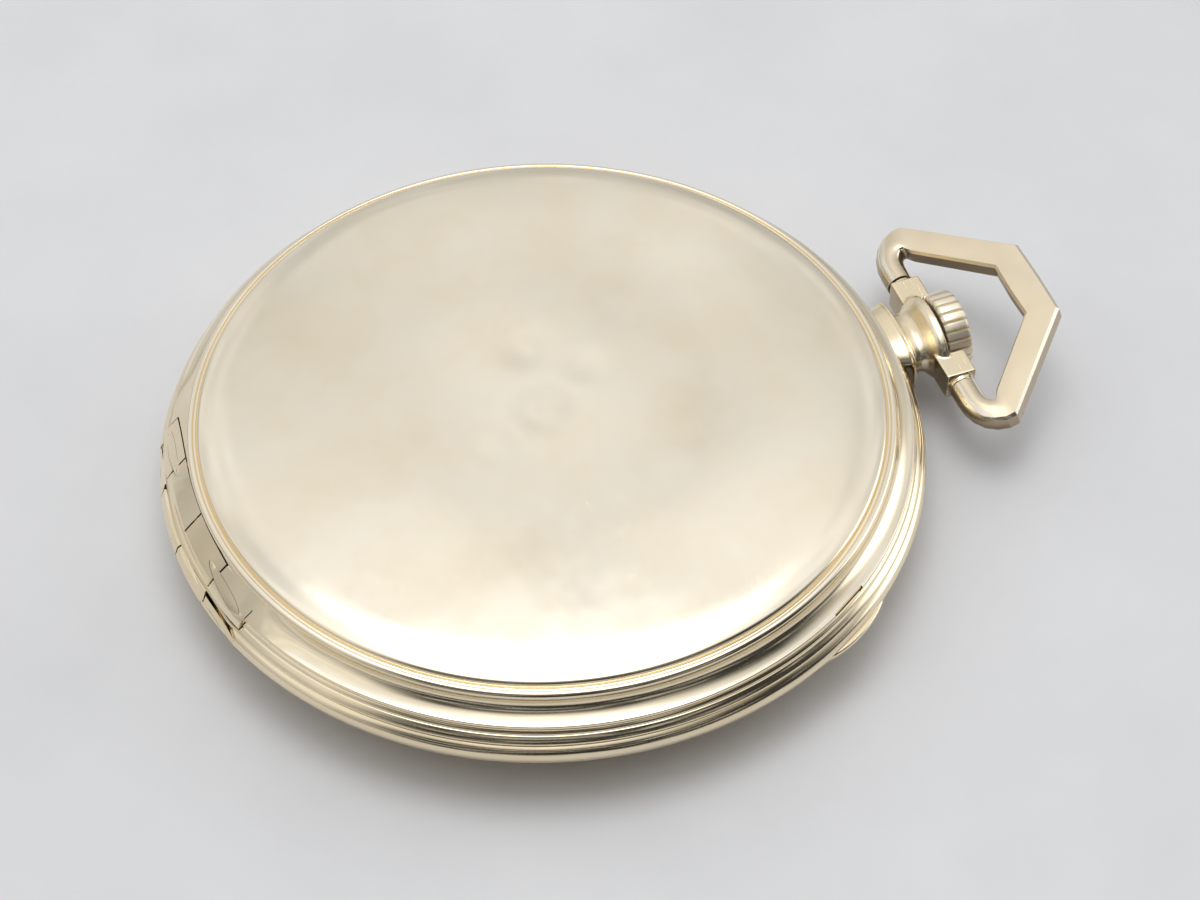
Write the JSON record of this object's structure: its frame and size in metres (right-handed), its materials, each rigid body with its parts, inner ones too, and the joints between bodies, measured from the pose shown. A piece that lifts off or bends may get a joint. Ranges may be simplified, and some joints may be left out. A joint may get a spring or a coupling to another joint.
{
  "type": "open face pocket watch",
  "caption": "Open face pocket watch, closed and lying on its crystal, with hinged covers, a fluted crown, a folding bow and a geared movement inside.",
  "frame": {"origin": "centre of the crystal's flat outer face", "axes": "+Z from the crystal up through the back cover, +Y from the case centre towards the pendant and crown"},
  "size_m": [0.045, 0.0547, 0.0085],
  "materials": {
    "case_gold": "polished",
    "bow_gold": "satin",
    "crystal_glass": "polished",
    "dial_enamel": "gloss",
    "blued_steel": "polished",
    "polished_steel": "satin",
    "plate_nickel": "satin",
    "wheel_brass": "satin",
    "jewel_ruby": "polished"
  },
  "bodies": {
    "case": {"back_hinge_pin": "case_gold", "balance_cock": "plate_nickel", "balance_cock_screw": "blued_steel", "balance_jewel": "jewel_ruby", "barrel_bridge": "plate_nickel", "barrel_bridge_screw_1": "blued_steel", "barrel_bridge_screw_2": "blued_steel", "bezel_hinge_pin": "case_gold", "case_middle": "case_gold", "case_screw_1": "blued_steel", "case_screw_2": "blued_steel", "centre_jewel": "jewel_ruby", "click_screw": "blued_steel", "click_spring": "polished_steel", "crown_wheel_screw": "blued_steel", "dial": "dial_enamel", "escape_jewel": "jewel_ruby", "fourth_jewel": "jewel_ruby", "mainplate": "plate_nickel", "pallet_cock": "plate_nickel", "pendant": "case_gold", "pendant_sleeve": "case_gold", "third_jewel": "jewel_ruby", "train_bridge": "plate_nickel", "train_bridge_screw_1": "blued_steel", "train_bridge_screw_2": "blued_steel"},
    "back_cover": {"back_cover": "case_gold"},
    "bezel": {"bezel": "case_gold", "crystal": "crystal_glass"},
    "bow": {"bow": "bow_gold"},
    "winding_pinion": {"winding_pinion": "polished_steel"},
    "crown": {"crown": "case_gold", "stem": "polished_steel"},
    "clutch": {"clutch": "polished_steel"},
    "crown_wheel": {"crown_wheel": "polished_steel"},
    "ratchet": {"ratchet_wheel": "polished_steel", "ratchet_screw": "blued_steel", "barrel_arbor": "polished_steel"},
    "click": {"click": "polished_steel"},
    "barrel": {"barrel_drum": "wheel_brass", "barrel_lid": "wheel_brass", "mainspring": "blued_steel"},
    "centre": {"centre_wheel": "wheel_brass", "cannon_pinion": "polished_steel", "minute_hand": "blued_steel"},
    "third": {"third_wheel": "wheel_brass"},
    "fourth": {"fourth_wheel": "wheel_brass", "seconds_hand": "blued_steel"},
    "escape": {"escape_wheel": "polished_steel"},
    "pallets": {"pallet_fork": "polished_steel"},
    "balance": {"balance_wheel": "wheel_brass", "hairspring": "blued_steel"},
    "minute_wheel": {"minute_wheel": "wheel_brass"},
    "hour": {"hour_wheel": "wheel_brass", "hour_hand": "blued_steel"},
    "regulator": {"regulator": "polished_steel"}
  },
  "joints": [
    {"name": "back_cover_hinge", "type": "hinge", "parent": "case", "child": "back_cover", "pos_m": [0, -0.02075, 0.00595], "axis": [1, 0, 0], "range_deg": [0, 105]},
    {"name": "bezel_hinge", "type": "hinge", "parent": "case", "child": "bezel", "pos_m": [0, -0.02175, 0.00395], "axis": [-1, 0, 0], "range_deg": [0, 100]},
    {"name": "bow_swing", "type": "hinge", "parent": "case", "child": "bow", "pos_m": [0, 0.02508, 0.0037], "axis": [1, 0, 0], "range_deg": [-135, 105]},
    {"name": "crown_turn", "type": "hinge", "parent": "case", "child": "winding_pinion", "pos_m": [0, 0.0172, 0.0037], "axis": [0, 1, 0], "continuous": true},
    {"name": "crown_pull", "type": "slide", "parent": "winding_pinion", "child": "crown", "axis": [0, 1, 0], "range_m": [0, 0.0007]},
    {"name": "clutch_slide", "type": "slide", "parent": "winding_pinion", "child": "clutch", "axis": [0, 1, 0], "range_m": [-0.00035, 0]},
    {"name": "crown_wheel_turn", "type": "hinge", "parent": "case", "child": "crown_wheel", "pos_m": [0, 0.01377, 0.006], "axis": [0, 0, 1], "continuous": true},
    {"name": "ratchet_turn", "type": "hinge", "parent": "case", "child": "ratchet", "pos_m": [-0.00445, 0.00712, 0.006], "axis": [0, 0, 1], "continuous": true},
    {"name": "click_pivot", "type": "hinge", "parent": "case", "child": "click", "pos_m": [-0.0102, 0.0123, 0.006], "axis": [0, 0, 1], "range_deg": [0, 10]},
    {"name": "barrel_turn", "type": "hinge", "parent": "case", "child": "barrel", "pos_m": [-0.00445, 0.00712, 0.006], "axis": [0, 0, 1], "continuous": true},
    {"name": "centre_turn", "type": "hinge", "parent": "case", "child": "centre", "pos_m": [0, 0, 0.006], "axis": [0, 0, 1], "continuous": true},
    {"name": "third_turn", "type": "hinge", "parent": "case", "child": "third", "pos_m": [-0.00333, -0.00514, 0.006], "axis": [0, 0, 1], "continuous": true},
    {"name": "seconds_turn", "type": "hinge", "parent": "case", "child": "fourth", "pos_m": [0, -0.009, 0.006], "axis": [0, 0, 1], "continuous": true},
    {"name": "escape_turn", "type": "hinge", "parent": "case", "child": "escape", "pos_m": [0.00493, -0.00815, 0.006], "axis": [0, 0, 1], "continuous": true},
    {"name": "pallet_rock", "type": "hinge", "parent": "case", "child": "pallets", "pos_m": [0.00721, -0.00621, 0.006], "axis": [0, 0, 1], "range_deg": [-4, 4]},
    {"name": "balance_swing", "type": "hinge", "parent": "case", "child": "balance", "pos_m": [0.0098, -0.004, 0.006], "axis": [0, 0, 1], "range_deg": [-220, 220]},
    {"name": "minute_wheel_turn", "type": "hinge", "parent": "case", "child": "minute_wheel", "pos_m": [0.00222, 0.00284, 0.0018], "axis": [0, 0, 1], "continuous": true},
    {"name": "hour_turn", "type": "hinge", "parent": "case", "child": "hour", "pos_m": [0, 0, 0.0016], "axis": [0, 0, 1], "continuous": true},
    {"name": "regulator_turn", "type": "hinge", "parent": "case", "child": "regulator", "pos_m": [0.0098, -0.004, 0.008], "axis": [0, 0, 1], "range_deg": [-12, 12]}
  ],
  "couplings": [
    {"joint": "clutch_slide", "follows": "crown_pull", "ratio": -0.5},
    {"joint": "crown_wheel_turn", "follows": "crown_turn", "ratio": 0.4},
    {"joint": "ratchet_turn", "follows": "crown_turn", "ratio": -0.31111},
    {"joint": "third_turn", "follows": "seconds_turn", "ratio": -0.13333},
    {"joint": "centre_turn", "follows": "seconds_turn", "ratio": 0.016667},
    {"joint": "barrel_turn", "follows": "seconds_turn", "ratio": -0.0027778},
    {"joint": "escape_turn", "follows": "seconds_turn", "ratio": -10},
    {"joint": "minute_wheel_turn", "follows": "seconds_turn", "ratio": -0.0055556},
    {"joint": "hour_turn", "follows": "seconds_turn", "ratio": 0.0013889}
  ]
}
